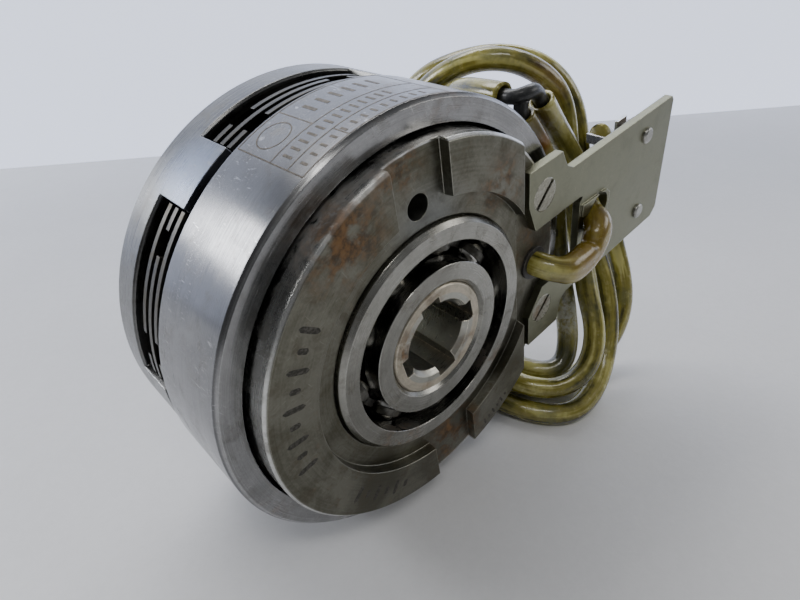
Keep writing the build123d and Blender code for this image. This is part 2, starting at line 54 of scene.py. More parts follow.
class Graph:
    """A material's nodes, with short ways to add them. Lengths are in millimetres."""

    def __init__(self, name):
        self.material = bpy.data.materials.new(name)
        self.material.use_nodes = True
        self.tree = self.material.node_tree
        self.tree.nodes.clear()

    def put(self, socket, value):
        if isinstance(value, bpy.types.NodeSocket):
            self.tree.links.new(value, socket)
        else:
            socket.default_value = value

    def node(self, kind, inputs=None, **settings):
        made = self.tree.nodes.new("ShaderNode" + kind)
        for name, value in settings.items():
            setattr(made, name, value)
        for name, value in (inputs or {}).items():
            self.put(made.inputs[name], value)
        return made

    def math(self, operation, a, b=0.0, clamp=False):
        return self.node("Math", {0: a, 1: b}, operation=operation, use_clamp=clamp).outputs[0]

    def add(self, *values):
        total = values[0]
        for value in values[1:]:
            total = self.math("ADD", total, value)
        return total

    def times(self, *values):
        total = values[0]
        for value in values[1:]:
            total = self.math("MULTIPLY", total, value)
        return total

    def step(self, value, low, high, to_low=0.0, to_high=1.0):
        """A smooth step from to_low at low to to_high at high."""
        inputs = {"Value": value, "From Min": low, "From Max": high, "To Min": to_low, "To Max": to_high}
        return self.node("MapRange", inputs, interpolation_type="SMOOTHSTEP").outputs[0]

    def blend(self, factor, a, b):
        """A colour between a and b."""
        made = self.node("Mix", data_type="RGBA")
        for index, value in ((0, factor), (6, a), (7, b)):
            self.put(made.inputs[index], value)
        return made.outputs[2]

    def place(self):
        """Where a point is, in the part's frame, in millimetres."""
        where = self.node("TexCoord").outputs["Object"]
        return self.node("VectorMath", {0: where, "Scale": 1000.0}, operation="SCALE").outputs[0]

    def split(self, vector):
        parts = self.node("SeparateXYZ", {0: vector}).outputs
        return parts[0], parts[1], parts[2]

    def join(self, x, y, z):
        return self.node("CombineXYZ", {0: x, 1: y, 2: z}).outputs[0]

    def noise(self, vector, scale, detail=3.0, roughness=0.55, distortion=0.0):
        inputs = {"Vector": vector, "Scale": scale, "Detail": detail, "Roughness": roughness,
                  "Distortion": distortion}
        return self.node("TexNoise", inputs).outputs[0]

    def round_about_axis(self, place):
        """Radius, angle from +Z and axial place of a point about the clutch axis."""
        x, y, z = self.split(place)
        radius = self.math("SQRT", self.add(self.times(x, x), self.times(z, z)))
        angle = self.math("ARCTAN2", x, z)
        return radius, angle, y

    def near(self, place, centre, reach):
        """1 at a given point, falling to 0 at a distance of reach."""
        gap = self.node("VectorMath", {0: place, 1: centre}, operation="DISTANCE").outputs["Value"]
        return self.step(gap, 0.15 * reach, reach, 1.0, 0.0)

    def worn_edge(self, width):
        """1 on an edge and 0 on a flat, by how far the rounded normal leans from the true one."""
        rounded = self.rounded_normal(width)
        true = self.node("NewGeometry").outputs["Normal"]
        lean = self.node("VectorMath", {0: rounded, 1: true}, operation="DOT_PRODUCT").outputs["Value"]
        return self.step(lean, 0.995, 0.86, 0.0, 1.0)

    def bump(self, height, distance, strength=1.0, normal=None):
        inputs = {"Height": height, "Distance": distance * MM, "Strength": strength}
        if normal is not None:
            inputs["Normal"] = normal
        return self.node("Bump", inputs).outputs[0]

    def rounded_normal(self, width):
        return self.node("Bevel", {"Radius": width * MM}, samples=BEVEL_SAMPLES).outputs[0]

    def finish(self, **inputs):
        """The surface shader; an underscore in a name stands for a space."""
        sockets = {name.replace("_", " "): value for name, value in inputs.items()}
        shader = self.node("BsdfPrincipled", sockets)
        self.tree.links.new(shader.outputs[0], self.node("OutputMaterial").inputs[0])
        return self.material


def rgb(r, g, b):
    return (r, g, b, 1.0)


# ---------------------------------------------------------------- metals

RUST_DARK = rgb(0.055, 0.029, 0.011)
RUST_LIGHT = rgb(0.215, 0.105, 0.030)
OIL_STAIN = rgb(0.085, 0.072, 0.045)


def tool_space(g, place, marks, scale):
    """Where to read the noise of the tool marks: as rings about the axis, or with no direction if plain."""
    if marks == "plain":
        return g.node("VectorMath", {0: place, "Scale": scale}, operation="SCALE").outputs[0]
    radius, angle, axial = g.round_about_axis(place)
    return g.join(g.times(radius, scale), g.times(axial, scale), g.times(angle, 1.6))


def scratch_mask(g, place, cloud, amount):
    """Fine straight scratches that run two ways, more of them in some places."""
    x, y, z = g.split(place)
    one_way = g.join(g.add(g.times(x, 0.9), g.times(z, 0.35)), g.times(y, 0.8),
                     g.add(g.times(x, -5.0), g.times(z, 11.0)))
    other_way = g.join(g.add(g.times(x, 10.0), g.times(z, 7.0)), g.times(y, 9.0),
                       g.add(g.times(x, -0.4), g.times(z, 0.6)))
    both = g.math("MAXIMUM", g.step(g.noise(one_way, 0.55, 1.0, 0.4), 0.66, 0.74),
                  g.step(g.noise(other_way, 0.42, 1.0, 0.4), 0.67, 0.74))
    return g.times(both, g.step(cloud, 0.42, 0.62), amount)


def rust_mask(g, place, everywhere, spots):
    """Rust: thin patches everywhere, and broken spots given as (centre, reach, amount)."""
    mask = g.times(g.step(g.noise(place, 0.30, 5.0, 0.62, 0.1), 0.58, 0.76), everywhere)
    for centre, reach, amount in spots:
        broken = g.step(g.noise(place, 0.22, 5.0, 0.62, 0.2), 0.40, 0.58)
        mask = g.math("MAXIMUM", mask, g.times(g.near(place, centre, reach), broken, amount))
    return mask


def metal(name, light, dark, marks="turned", mark_scale=3.0, mark_depth=0.012, rough=(0.24, 0.42),
          rust=0.0, rust_spots=(), stain=0.35, scratch=0.5, edge=0.25, edge_bright=0.35, bluish=(),
          tool_share=0.45, zones=()):
    """Machined metal with tool marks, stains, scratches, rust and bright worn edges.

    rough is the roughness of the smoothest and the roughest places, and tool_share is how much of the
    colour's change comes from the tool marks.
    rust_spots are (centre, reach, amount) and bluish are (centre, reach, amount, tint).
    zones are (radius, wider, colour, smoothness): a turned surface past that radius if wider, or inside it."""
    g = Graph(name)
    place = g.place()
    radius, _, _ = g.round_about_axis(place)
    tool = g.noise(tool_space(g, place, marks, mark_scale), 1.0, 4.0, 0.62)
    cloud = g.noise(place, 0.075, 4.0, 0.6, 0.6)
    grime = g.noise(place, 0.21, 5.0, 0.66, 0.4)
    speck = g.noise(place, 1.7, 3.0, 0.6)

    scratches = scratch_mask(g, place, cloud, scratch)
    rusted = rust_mask(g, place, rust, rust_spots)

    tone = g.add(g.times(tool, tool_share), g.times(cloud, 0.85 - tool_share), g.times(speck, 0.15))
    colour = g.blend(g.step(tone, 0.36, 0.62), dark, light)
    smoother = 0.0
    for limit, wider, zone_colour, smoothness in zones:
        low, high = (limit - 0.3, limit) if wider else (limit + 0.3, limit)
        inside = g.step(radius, low, high)
        colour = g.blend(g.times(inside, g.step(tone, 0.30, 0.60, 0.45, 1.0)), colour, zone_colour)
        smoother = g.math("MAXIMUM", smoother, g.times(inside, smoothness))
    stained = g.times(g.step(grime, 0.50, 0.72), stain)
    colour = g.blend(stained, colour, OIL_STAIN)
    for centre, reach, amount, tint in bluish:
        patch = g.times(g.near(place, centre, reach), g.step(speck, 0.2, 0.6, 0.75, 1.0), amount)
        colour = g.blend(patch, colour, tint)

    rust_colour = g.blend(g.step(g.noise(place, 0.6, 4.0, 0.65), 0.35, 0.65), RUST_DARK, RUST_LIGHT)

    uneven_wear = g.step(g.noise(place, 0.8, 3.0, 0.6), 0.28, 0.55, 0.35, 1.0)
    worn = g.times(g.worn_edge(edge), uneven_wear, edge_bright)
    bright = tuple(min(1.0, 1.45 * channel + 0.10) for channel in light[:3]) + (1.0,)
    colour = g.blend(g.math("MAXIMUM", worn, g.times(scratches, 0.55)), colour, bright)
    colour = g.blend(rusted, colour, rust_colour)

    roughness = g.step(g.add(g.times(tool, 0.5), g.times(cloud, 0.5)), 0.34, 0.66, rough[0], rough[1])
    roughness = g.add(roughness, g.times(stained, 0.22), g.times(rusted, 0.40), g.times(worn, -0.10),
                      g.times(smoother, -1.0))
    roughness = g.math("MINIMUM", g.math("MAXIMUM", roughness, 0.08), 0.9)
    metallic = g.math("SUBTRACT", 1.0, g.add(g.times(rusted, 0.85), g.times(stained, 0.20)), clamp=True)

    height = g.add(g.times(tool, 1.0), g.times(speck, 0.25), g.times(scratches, -0.8), g.times(rusted, 1.2))
    normal = g.bump(height, mark_depth, 1.0, g.rounded_normal(edge))
    return g.finish(Base_Color=colour, Metallic=metallic, Roughness=roughness, Normal=normal)


def plastic(name, light, dark, rough=(0.35, 0.55), grain=1.2, depth=0.03, coat=0.0):
    """Moulded plastic, resin or rubber with cloudy colour, fine grain, dust and scuffed edges."""
    g = Graph(name)
    place = g.place()
    cloud = g.noise(place, 0.12, 4.0, 0.6, 0.5)
    fine = g.noise(place, grain, 4.0, 0.6)
    dust = g.times(g.step(g.noise(place, 0.5, 5.0, 0.7), 0.52, 0.74), 0.30)
    colour = g.blend(g.step(g.add(g.times(cloud, 0.7), g.times(fine, 0.3)), 0.35, 0.65), dark, light)
    colour = g.blend(dust, colour, rgb(0.34, 0.32, 0.28))
    worn = g.worn_edge(0.2)
    colour = g.blend(g.times(worn, 0.25), colour, rgb(0.42, 0.40, 0.36))
    roughness = g.add(g.step(cloud, 0.35, 0.65, rough[0], rough[1]), g.times(dust, 0.25))
    normal = g.bump(g.add(fine, g.times(dust, 0.4)), depth, 1.0, g.rounded_normal(0.2))
    return g.finish(Base_Color=colour, Roughness=roughness, Normal=normal, Coat_Weight=coat)


def friction(name):
    """Sintered friction face with spiral oil grooves and worn bands."""
    g = Graph(name)
    place = g.place()
    radius, angle, _ = g.round_about_axis(place)
    spiral = g.math("SINE", g.add(g.times(radius, 2.6), g.times(angle, 1.0)))
    groove = g.step(spiral, 0.72, 0.95)
    grain = g.noise(place, 2.2, 5.0, 0.7)
    band = g.noise(g.join(radius, 0.0, 0.0), 0.6, 3.0, 0.5)
    colour = g.blend(g.step(g.add(g.times(grain, 0.6), g.times(band, 0.4)), 0.35, 0.65),
                     rgb(0.060, 0.050, 0.036), rgb(0.185, 0.150, 0.095))
    colour = g.blend(g.times(groove, 0.8), colour, rgb(0.018, 0.015, 0.012))
    colour = g.blend(g.times(g.worn_edge(0.2), 0.6), colour, rgb(0.50, 0.48, 0.44))
    normal = g.bump(g.add(grain, g.times(groove, -3.0)), 0.03)
    return g.finish(Base_Color=colour, Metallic=0.55, Roughness=0.48, Normal=normal)


def winding(name):
    """Enamelled copper wire in close rows."""
    g = Graph(name)
    place = g.place()
    radius, angle, axial = g.round_about_axis(place)
    rows = g.math("SINE", g.times(g.add(radius, axial), 2 * math.pi / 0.6))
    waver = g.noise(g.join(g.times(angle, 6.0), axial, radius), 1.0, 3.0)
    colour = g.blend(g.step(g.add(rows, waver), -0.2, 1.4), rgb(0.16, 0.045, 0.018), rgb(0.62, 0.26, 0.11))
    return g.finish(Base_Color=colour, Metallic=0.8, Roughness=0.32, Coat_Weight=0.6,
                    Normal=g.bump(rows, 0.12, 0.9))


STEEL = rgb(0.46, 0.455, 0.44)
STEEL_DARK = rgb(0.27, 0.265, 0.25)
HEAT_BLUE = rgb(0.30, 0.35, 0.46)
TAN = rgb(0.50, 0.43, 0.33)

MATERIALS = {
    "pot_steel": metal(
        "pot_steel", rgb(0.195, 0.190, 0.155), rgb(0.085, 0.081, 0.057), mark_scale=2.4, mark_depth=0.003,
        rough=(0.30, 0.46), rust=0.16, stain=0.55, edge=0.30, edge_bright=0.95, tool_share=0.22,
        # The light colour past radius 41.6 is the pot side's ground finish, and partly a painted highlight on
        # that side.
        zones=((41.6, True, rgb(0.62, 0.62, 0.60), 0.14),),
        rust_spots=(((-24.0, FACE_Y, 31.0), 12.0, 0.85), ((14.5, FACE_Y, 29.0), 9.0, 0.7),
                    ((7.5, -3.5, -33.5), 12.0, 0.9), ((-9.5, -3.5, 38.0), 6.0, 0.8),
                    ((-15.0, FACE_Y, 37.5), 6.0, 0.6), ((31.0, -2.0, 10.0), 8.0, 0.5)),
        bluish=(((-3.0, -3.0, 26.0), 12.0, 0.3, rgb(0.20, 0.225, 0.26)),)),
    "rotor_steel": metal(
        "rotor_steel", rgb(0.33, 0.33, 0.33), rgb(0.21, 0.21, 0.21), mark_scale=4.2, mark_depth=0.004,
        rough=(0.15, 0.28), stain=0.24, tool_share=0.35, scratch=0.8, edge=0.25, edge_bright=0.7,
        zones=((RING_R - 0.2, True, rgb(0.145, 0.145, 0.148), 0.0),),
        rust_spots=(((-42.0, 5.0, -22.0), 9.0, 0.35), ((3.0, 6.0, 47.0), 14.0, 0.22))),
    "driver_steel": metal(
        "driver_steel", rgb(0.165, 0.165, 0.16), rgb(0.10, 0.10, 0.097), mark_scale=3.0, mark_depth=0.005,
        rough=(0.22, 0.38), stain=0.28, scratch=0.9, edge=0.32, edge_bright=1.0,
        bluish=(((-32.0, 27.5, 35.0), 12.0, 0.6, HEAT_BLUE),)),
    "race_steel": metal(
        "race_steel", rgb(0.345, 0.34, 0.31), rgb(0.22, 0.215, 0.19), mark_scale=4.5, mark_depth=0.0015,
        rough=(0.16, 0.30), tool_share=0.25, stain=0.40, edge=0.30, edge_bright=0.95,
        rust_spots=(((-12.0, -4.6, -22.0), 9.0, 0.6), ((19.0, -4.6, -16.0), 7.0, 0.5))),
    "ball_steel": metal(
        "ball_steel", rgb(0.60, 0.59, 0.56), rgb(0.46, 0.45, 0.42), marks="plain", mark_scale=0.6,
        mark_depth=0.001, rough=(0.12, 0.20), stain=0.15, scratch=0.1, edge_bright=0.0),
    "cage_steel": metal(
        "cage_steel", rgb(0.16, 0.155, 0.14), rgb(0.060, 0.057, 0.048), marks="plain", mark_scale=1.2,
        rough=(0.26, 0.42), stain=0.6, edge_bright=0.5),
    "hub_steel": metal(
        "hub_steel", rgb(0.60, 0.545, 0.44), rgb(0.36, 0.325, 0.255), mark_scale=3.0, mark_depth=0.004,
        rough=(0.28, 0.46), tool_share=0.30, rust=0.15, stain=0.40, edge=0.35, edge_bright=1.0,
        zones=((10.2, False, rgb(0.40, 0.41, 0.375), 0.06),),
        rust_spots=(((-10.0, -4.2, 2.0), 6.0, 0.85), ((9.0, -4.2, -6.5), 5.0, 0.7),
                    ((-2.0, -4.2, 11.0), 5.0, 0.6), ((-5.0, -4.2, -10.5), 5.0, 0.5)),
        bluish=(((0.0, -4.2, 0.0), 13.5, 0.40, TAN),)),
    "pole_steel": metal("pole_steel", STEEL, STEEL_DARK, mark_scale=2.0),
    "ring_brass": metal("ring_brass", rgb(0.70, 0.50, 0.20), rgb(0.45, 0.31, 0.12), mark_scale=2.0),
    "clip_steel": metal("clip_steel", rgb(0.30, 0.29, 0.28), rgb(0.13, 0.125, 0.12), marks="plain"),
    "disc_steel": metal(
        "disc_steel", rgb(0.085, 0.082, 0.072), rgb(0.034, 0.032, 0.027), mark_scale=1.4, rough=(0.24, 0.44),
        rust=0.10, stain=0.6, edge=0.14, edge_bright=0.5),
    "bush_bronze": metal("bush_bronze", rgb(0.60, 0.40, 0.20), rgb(0.38, 0.24, 0.11), mark_scale=2.4),
    "bracket_steel": metal(
        "bracket_steel", rgb(0.225, 0.226, 0.158), rgb(0.185, 0.186, 0.128), marks="plain", mark_scale=0.5,
        mark_depth=0.005, rough=(0.30, 0.42), stain=0.14, scratch=0.45, edge=0.32, edge_bright=1.0,
        rust_spots=(((41.0, -4.0, 14.0), 4.0, 0.35),)),
    "screw_steel": metal(
        "screw_steel", rgb(0.36, 0.35, 0.29), rgb(0.20, 0.19, 0.145), marks="plain", mark_scale=1.0,
        rough=(0.22, 0.38), edge=0.28, edge_bright=1.0, rust=0.15,
        rust_spots=(((38.6, -3.5, -10.0), 4.5, 0.8),)),
    "rivet_steel": metal("rivet_steel", rgb(0.50, 0.495, 0.46), rgb(0.34, 0.335, 0.31), marks="plain",
                         edge=0.2, edge_bright=0.8),
    "tag_metal": metal("tag_metal", rgb(0.80, 0.80, 0.80), rgb(0.50, 0.50, 0.49), marks="plain",
                       mark_scale=1.4, mark_depth=0.006, rough=(0.12, 0.28), stain=0.10, edge_bright=0.9),
    "bobbin_plastic": plastic("bobbin_plastic", rgb(0.10, 0.075, 0.045), rgb(0.05, 0.037, 0.022)),
    "block_plastic": plastic("block_plastic", rgb(0.085, 0.050, 0.030), rgb(0.040, 0.022, 0.014), coat=0.3),
    "resin": plastic("resin", rgb(0.16, 0.075, 0.030), rgb(0.08, 0.035, 0.015), rough=(0.15, 0.3), coat=0.5),
    "grommet_rubber": plastic("grommet_rubber", rgb(0.030, 0.028, 0.026), rgb(0.014, 0.013, 0.012)),
    "friction_lining": friction("friction_lining"),
    "copper_wire": winding("copper_wire"),
}


# ---------------------------------------------------------------- sleeves of the leads

SLEEVE_UV = "sleeve"
TABLE_CLEARANCE = 0.02        # how far a lead stays above the table
RIM_ROUNDING = 0.12           # of a sleeve's cut end
END_ROUNDING = 0.9            # of a lead's closed end


SLEEVE_DARK = rgb(0.045, 0.042, 0.006)
SLEEVE_MIDDLE = rgb(0.245, 0.215, 0.038)
# The pale colour is a painted highlight along the sleeve's streaks.
SLEEVE_PALE_HIGHLIGHT = rgb(0.56, 0.52, 0.18)
SLEEVE_GREEN = rgb(0.100, 0.112, 0.045)
SLEEVE_GRIME = rgb(0.045, 0.036, 0.014)
SLEEVE_SILVER_GLINT = rgb(0.52, 0.52, 0.45)


def sleeve_material(name, tints=(), crinkles=()):
    """Yellowed soft plastic sleeving: long dark streaks, and long pale streaks that are painted highlights,
    under a glossy, slightly wavy skin.

    tints are (centre, reach, amount, colour), and crinkles are (centre, reach, amount) of creases that carry a
    painted silvery glint."""
    g = Graph(name)
    place = g.place()
    around, along, _ = g.split(g.node("UVMap", uv_map=SLEEVE_UV).outputs[0])
    ring_place = g.join(g.times(g.math("COSINE", around), 1.1), g.times(g.math("SINE", around), 1.1),
                        g.times(along, 0.030))
    lanes = g.noise(ring_place, 1.0, 3.0, 0.55, 0.2)
    cloud = g.noise(place, 0.075, 4.0, 0.6, 0.5)
    mottle = g.noise(place, 0.45, 4.0, 0.6)
    tone = g.add(g.times(lanes, 0.60), g.times(cloud, 0.30), g.times(mottle, 0.10))
    colour = g.blend(g.step(tone, 0.40, 0.50), SLEEVE_DARK, SLEEVE_MIDDLE)
    # The palest lanes are painted highlight streaks running along the sleeve.
    colour = g.blend(g.step(tone, 0.50, 0.60), colour, SLEEVE_PALE_HIGHLIGHT)
    olive = g.step(g.noise(place, 0.14, 4.0, 0.6), 0.50, 0.68)
    colour = g.blend(g.times(olive, 0.50), colour, SLEEVE_GREEN)
    for centre, reach, amount, tint in tints:
        colour = g.blend(g.times(g.near(place, centre, reach), amount), colour, tint)
    grime = g.step(g.noise(place, 0.8, 5.0, 0.68), 0.62, 0.78)
    colour = g.blend(g.times(grime, 0.30), colour, SLEEVE_GRIME)
    foil = g.noise(place, 0.62, 4.0, 0.62, 0.8)
    creased = 0.0
    for centre, reach, amount in crinkles:
        creased = g.math("MAXIMUM", creased, g.times(g.near(place, centre, reach), amount))
    # Painted silvery glints on the creases; the creases themselves are the bump below.
    colour = g.blend(g.times(creased, g.step(foil, 0.38, 0.60, 0.25, 1.0)), colour, SLEEVE_SILVER_GLINT)
    roughness = g.add(g.step(mottle, 0.3, 0.7, 0.16, 0.28), g.times(grime, 0.2))
    wave = g.noise(place, 0.42, 3.0, 0.5, 0.3)
    height = g.add(g.times(wave, 1.0), g.times(lanes, 0.5), g.times(creased, foil, 4.5))
    return g.finish(Base_Color=colour, Roughness=roughness, Normal=g.bump(height, 0.20, 0.8),
                    Specular_IOR_Level=0.5, Subsurface_Weight=0.20,
                    Subsurface_Radius=(0.0016, 0.0012, 0.0004), Coat_Weight=0.5, Coat_Roughness=0.12)


def core_material(name):
    """Black insulation, slightly dusty."""
    g = Graph(name)
    place = g.place()
    fine = g.noise(place, 2.4, 4.0, 0.6)
    dust = g.step(g.noise(place, 0.9, 5.0, 0.7), 0.50, 0.74)
    colour = g.blend(g.times(dust, 0.35), rgb(0.012, 0.013, 0.014), rgb(0.11, 0.11, 0.10))
    return g.finish(Base_Color=colour, Roughness=g.step(fine, 0.3, 0.7, 0.34, 0.55),
                    Normal=g.bump(fine, 0.05), Coat_Weight=0.2)


def spline_points(name, route):
    """The points of a smooth line that has the route's points as its control points."""
    curve = bpy.data.curves.new(name + "_line", "CURVE")
    curve.dimensions = "3D"
    curve.resolution_u = 14
    spline = curve.splines.new("NURBS")
    spline.points.add(len(route) - 1)
    for point, (x, y, z) in zip(spline.points, route):
        point.co = (x * MM, y * MM, z * MM, 1.0)
    spline.order_u = 3
    spline.use_endpoint_u = True
    carrier = bpy.data.objects.new(name + "_line", curve)
    bpy.context.scene.collection.objects.link(carrier)
    bpy.context.view_layer.update()
    mesh = bpy.data.meshes.new_from_object(carrier)
    points = [vertex.co.copy() for vertex in mesh.vertices]
    bpy.data.objects.remove(carrier)
    bpy.data.meshes.remove(mesh)
    return points


def carried_frames(points):
    """A centre, a side and an up for each point, turned along the line with no twist."""
    frames = []
    side = None
    for index, point in enumerate(points):
        ahead = points[min(index + 1, len(points) - 1)] - points[max(index - 1, 0)]
        ahead.normalize()
        if side is None:
            side = ahead.orthogonal().normalized()
        side = (side - ahead * side.dot(ahead)).normalized()
        frames.append((point, ahead, side, ahead.cross(side)))
    return frames


def tube(name, route, radius, bore=0.0, depth=6.0, sides=28, shape=None, sealed=False):
    """A round tube along a route: the piece, and the points that it follows.

    Its ends are hollow to depth where bore is over 0, and sealed closes and rounds off the far one.
    shape(distance, angle, reach) gives a factor on the radius: distance is along the tube in millimetres,
    and reach is the way out from its middle."""
    points = spline_points(name, route)
    frames = carried_frames(points)
    run = [0.0]
    for before, after in zip(points, points[1:]):
        run.append(run[-1] + (after - before).length / MM)
    vertices, rings = [], []

    def ring(centre, side, up, size, along):
        first = len(vertices)
        for k in range(sides):
            angle = 2 * math.pi * k / sides
            reach = side * math.cos(angle) + up * math.sin(angle)
            factor = shape(along, angle, reach) if shape else 1.0
            corner = centre + reach * (size * factor * MM)
            corner.z = max(corner.z, FLOOR_Z + TABLE_CLEARANCE * MM)
            vertices.append(corner)
        rings.append((first, along))

    def hollow(frame_at, inward, along):
        centre, ahead, side, up = frame_at
        steps = ((0.0, radius - RIM_ROUNDING), (-RIM_ROUNDING, 0.5 * (radius + bore)), (0.0, bore + 0.1),
                 (0.4, bore), (depth, bore))
        return [(centre + ahead * (inward * back * MM), side, up, size, along) for back, size in steps]

    start = hollow(frames[0], 1.0, 0.0) if bore else []
    for place in reversed(start):
        ring(*place)
    for (centre, _, side, up), along in zip(frames, run):
        ring(centre, side, up, radius, along)
    end = hollow(frames[-1], -1.0, run[-1]) if bore else []
    if sealed:
        centre, ahead, side, up = frames[-1]
        end = []
        for turn in (0.4, 0.8, 1.2, 1.55):
            past = centre + ahead * (END_ROUNDING * math.sin(turn) * MM)
            size = radius - END_ROUNDING + END_ROUNDING * math.cos(turn)
            end.append((past, side, up, size, run[-1]))
    for place in end:
        ring(*place)

    faces, uvs = [], []
    for (low, along_low), (high, along_high) in zip(rings, rings[1:]):
        for k in range(sides):
            after = (k + 1) % sides
            faces.append((low + k, low + after, high + after, high + k))
            left = 2 * math.pi * k / sides
            right = 2 * math.pi * (k + 1) / sides
            uvs += [(left, along_low), (right, along_low), (right, along_high), (left, along_high)]
    for first, backwards in ((rings[0][0], True), (rings[-1][0], False)):
        cap = [first + k for k in range(sides)]
        faces.append(tuple(reversed(cap)) if backwards else tuple(cap))
        uvs += [(0.0, 0.0)] * sides
    mesh = bpy.data.meshes.new(name)
    mesh.from_pydata(vertices, [], faces)
    layer = mesh.uv_layers.new(name=SLEEVE_UV)
    for loop, value in zip(layer.data, uvs):
        loop.uv = value
    mesh.shade_smooth()
    piece = bpy.data.objects.new(name, mesh)
    bpy.context.scene.collection.objects.link(piece)
    return piece, points


SLEEVE_R = 3.0
SLEEVE_BORE = 2.1
CORE_R = 1.7

# The leads' routes, in millimetres. They are the CAD's, but the core's two ends reach further into the sleeves.
FIELD_ROUTE = (
    (34.34, 0.5, 4.13), (34.34, -5.1, 4.13), (38.0, -9.0, 3.1), (43.5, -9.0, 2.7), (49.4, -8.6, 4.3),
    (54.6, -7.4, 9.3), (56.7, -1.8, 11.4), (59.8, 3.0, 17.4), (58.0, 7.0, 24.2), (52.2, 8.5, 31.0),
    (45.8, 9.0, 38.0))
CORE_ROUTE = (
    (48.5, 8.8, 35.05), (45.8, 9.0, 38.0), (43.77, 9.16, 40.22), (41.2, 8.3, 41.0), (38.4, 8.3, 40.7),
    (36.3, 9.8, 39.95), (36.4, 12.8, 39.8), (36.5, 16.4, 39.6))
SUPPLY_ROUTE = (
    (36.4, 12.8, 39.8), (36.6, 18.8, 39.5), (39.0, 26.2, 38.6), (42.8, 33.0, 36.3), (46.0, 39.5, 30.5),
    (48.6, 45.0, 22.5), (50.0, 48.5, 12.5), (50.5, 49.5, 1.5), (50.5, 48.0, -9.5), (50.0, 43.0, -20.0),
    (48.0, 36.0, -28.7), (44.8, 28.5, -35.0), (41.0, 20.5, -37.8), (39.3, 12.0, -38.6),
    (39.2, 4.0, -38.7), (41.2, -3.4, -38.8), (45.6, -9.0, -38.5), (51.6, -12.3, -35.6),
    (56.7, -12.2, -30.0), (59.7, -9.6, -23.2), (61.9, -4.8, -16.6), (65.6, 0.6, -9.4),
    (68.0, 5.8, -1.2), (69.2, 10.0, 8.0), (69.6, 13.2, 17.2), (70.0, 15.4, 26.2), (68.2, 17.6, 34.2),
    (62.6, 20.4, 40.2), (55.0, 25.5, 44.0), (49.8, 33.0, 43.5), (46.6, 41.0, 39.3), (44.7, 48.3, 32.3),
    (43.5, 54.0, 23.5), (42.7, 57.0, 13.0), (42.0, 58.0, 2.0), (41.0, 57.5, -9.0), (39.5, 55.0, -20.0),
    (37.5, 50.5, -30.5), (36.2, 43.5, -39.0), (35.5, 34.0, -44.0), (35.2, 23.0, -44.6),
    (35.0, 12.5, -44.6), (35.4, 3.5, -44.6), (37.4, -4.4, -44.6), (41.6, -10.8, -44.6),
    (47.1, -14.4, -44.6), (53.9, -15.0, -43.6), (60.9, -13.8, -40.8), (66.9, -11.6, -35.8),
    (71.3, -8.6, -29.0), (73.7, -4.8, -21.4), (75.0, -0.2, -13.6), (75.2, 5.0, -5.5), (75.2, 9.4, 4.0),
    (75.7, 12.4, 13.4), (76.5, 15.2, 23.0), (75.5, 18.4, 32.0), (71.7, 22.6, 38.8), (65.7, 28.0, 42.6),
    (59.0, 35.5, 43.4), (53.9, 43.7, 40.8), (50.6, 52.0, 36.3), (47.8, 58.8, 27.6), (45.6, 63.5, 17.0),
    (44.5, 66.0, 5.0), (44.6, 66.0, -6.5), (44.5, 63.5, -18.0), (44.5, 58.5, -28.5),
    (44.5, 51.0, -37.0), (44.3, 41.5, -43.0), (44.0, 31.0, -44.6), (43.6, 22.0, -44.6),
    (43.4, 14.5, -44.6), (43.9, 7.5, -44.6), (46.4, 1.2, -44.6), (51.0, -3.6, -44.6),
    (56.9, -5.8, -44.6), (63.9, -6.4, -44.4), (71.5, -7.0, -42.8), (77.9, -7.2, -38.8),
    (82.5, -6.8, -33.0), (84.9, -5.2, -25.8), (85.5, -2.2, -18.0), (85.3, 1.6, -10.4),
    (85.6, 4.8, -3.0), (86.6, 7.2, 5.0), (86.2, 8.1, 11.6), (83.8, 8.0, 17.0), (80.2, 7.5, 21.2),
    (76.4, 7.1, 23.8), (72.7, 6.9, 25.2))
EARTH_ROUTE = (
    (39.6, 9.4, 35.4), (43.2, 8.0, 30.6), (47.4, 7.0, 24.4), (51.6, 6.4, 16.6), (55.3, 6.3, 8.2),
    (57.9, 6.0, -1.3), (60.2, 4.5, -11.6), (61.0, 1.4, -21.2), (59.0, -2.6, -30.3), (55.4, -4.8, -36.2),
    (51.0, -3.4, -38.4), (47.0, 1.0, -38.5), (45.8, 7.6, -38.6))


def uneven(distance, angle, reach):
    """Slight unevenness of a soft sleeve, in shares of its radius."""
    slow = 0.016 * math.sin(distance * 0.21 + 2.0 * math.sin(distance * 0.037))
    oval = 0.022 * math.cos(2 * angle + 0.05 * distance)
    return 1.0 + slow + oval


def pinched(distance, angle, reach):
    """The field lead's sleeve, squashed flat and creased where it folds in front of the bracket."""
    flat = math.exp(-((distance - 21.0) / 10.5) ** 6)
    inside = max(0.0, 0.80 * reach.z - 0.60 * reach.x - 0.15)
    crease = math.exp(-((distance - 22.5) / 1.5) ** 2) * inside
    wide = 1.0 + flat * (0.36 * math.sqrt(1 - min(1.0, reach.y ** 2)) - 0.12 * abs(reach.y))
    return uneven(distance, angle, reach) * wide * (1.0 - 0.45 * crease)


AMBER = rgb(0.225, 0.135, 0.007)
ORANGE = rgb(0.27, 0.080, 0.004)
BROWN = rgb(0.075, 0.040, 0.008)
# Painted shade colour for the lower coil.
OLIVE_SHADE = rgb(0.030, 0.034, 0.018)

